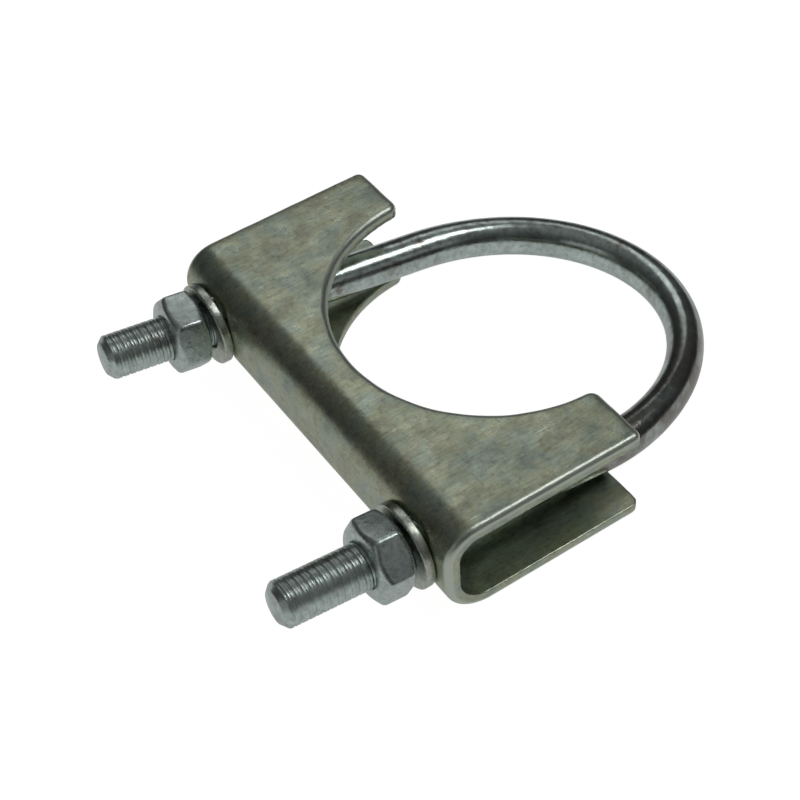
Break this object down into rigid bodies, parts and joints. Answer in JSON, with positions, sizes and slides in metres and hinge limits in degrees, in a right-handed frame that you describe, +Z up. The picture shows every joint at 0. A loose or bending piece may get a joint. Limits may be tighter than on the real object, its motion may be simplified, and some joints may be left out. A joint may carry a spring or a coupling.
{
  "type": "u-bolt pipe clamp",
  "caption": "Threaded U-bolt through a pressed channel saddle with half-round seats, held by hex nuts on spring washers; clamps round a pipe.",
  "frame": {"origin": "centre of the bounding box, on the ground that the saddle's lower flange lies on", "axes": "+X across the legs, +Y from the nuts towards the bow, +Z up through the saddle's flanges"},
  "size_m": [0.08, 0.0982, 0.0188],
  "materials": {
    "saddle_steel": "zinc plated sheet, mottled satin",
    "rod_steel": "zinc plated rod, bright",
    "nut_steel": "zinc plated, semi-bright",
    "washer_steel": "zinc plated, bright"
  },
  "bodies": {
    "saddle": {"saddle": "saddle_steel"},
    "u_bolt": {"u_bolt": "rod_steel"},
    "washer_left": {"spring_washer_left": "washer_steel"},
    "washer_right": {"spring_washer_right": "washer_steel"},
    "nut_left": {"hex_nut_left": "nut_steel"},
    "nut_right": {"hex_nut_right": "nut_steel"}
  },
  "joints": [
    {"name": "u_bolt_slide", "type": "slide", "parent": "saddle", "child": "u_bolt", "axis": [-0.0591, -0.9953, 0.0767], "range_m": [0, 0.018]},
    {"name": "washer_left_travel", "type": "slide", "parent": "u_bolt", "child": "washer_left", "axis": [-0.0939, -0.9926, 0.0767], "range_m": [0, 0.01001]},
    {"name": "nut_left_turn", "type": "hinge", "parent": "washer_left", "child": "nut_left", "pos_m": [-0.03107, -0.02753, 0.01003], "axis": [-0.0939, -0.9926, 0.0767], "range_deg": [0, 2880]},
    {"name": "washer_right_travel", "type": "slide", "parent": "u_bolt", "child": "washer_right", "axis": [-0.0243, -0.9968, 0.0767], "range_m": [0, 0.01376]},
    {"name": "nut_right_turn", "type": "hinge", "parent": "washer_right", "child": "nut_right", "pos_m": [0.02965, -0.0273, 0.00974], "axis": [-0.0243, -0.9968, 0.0767], "range_deg": [0, 3960]}
  ],
  "couplings": [
    {"joint": "washer_left_travel", "follows": "nut_left_turn", "m_per_rad": 0.00019894},
    {"joint": "washer_right_travel", "follows": "nut_right_turn", "m_per_rad": 0.00019894}
  ]
}
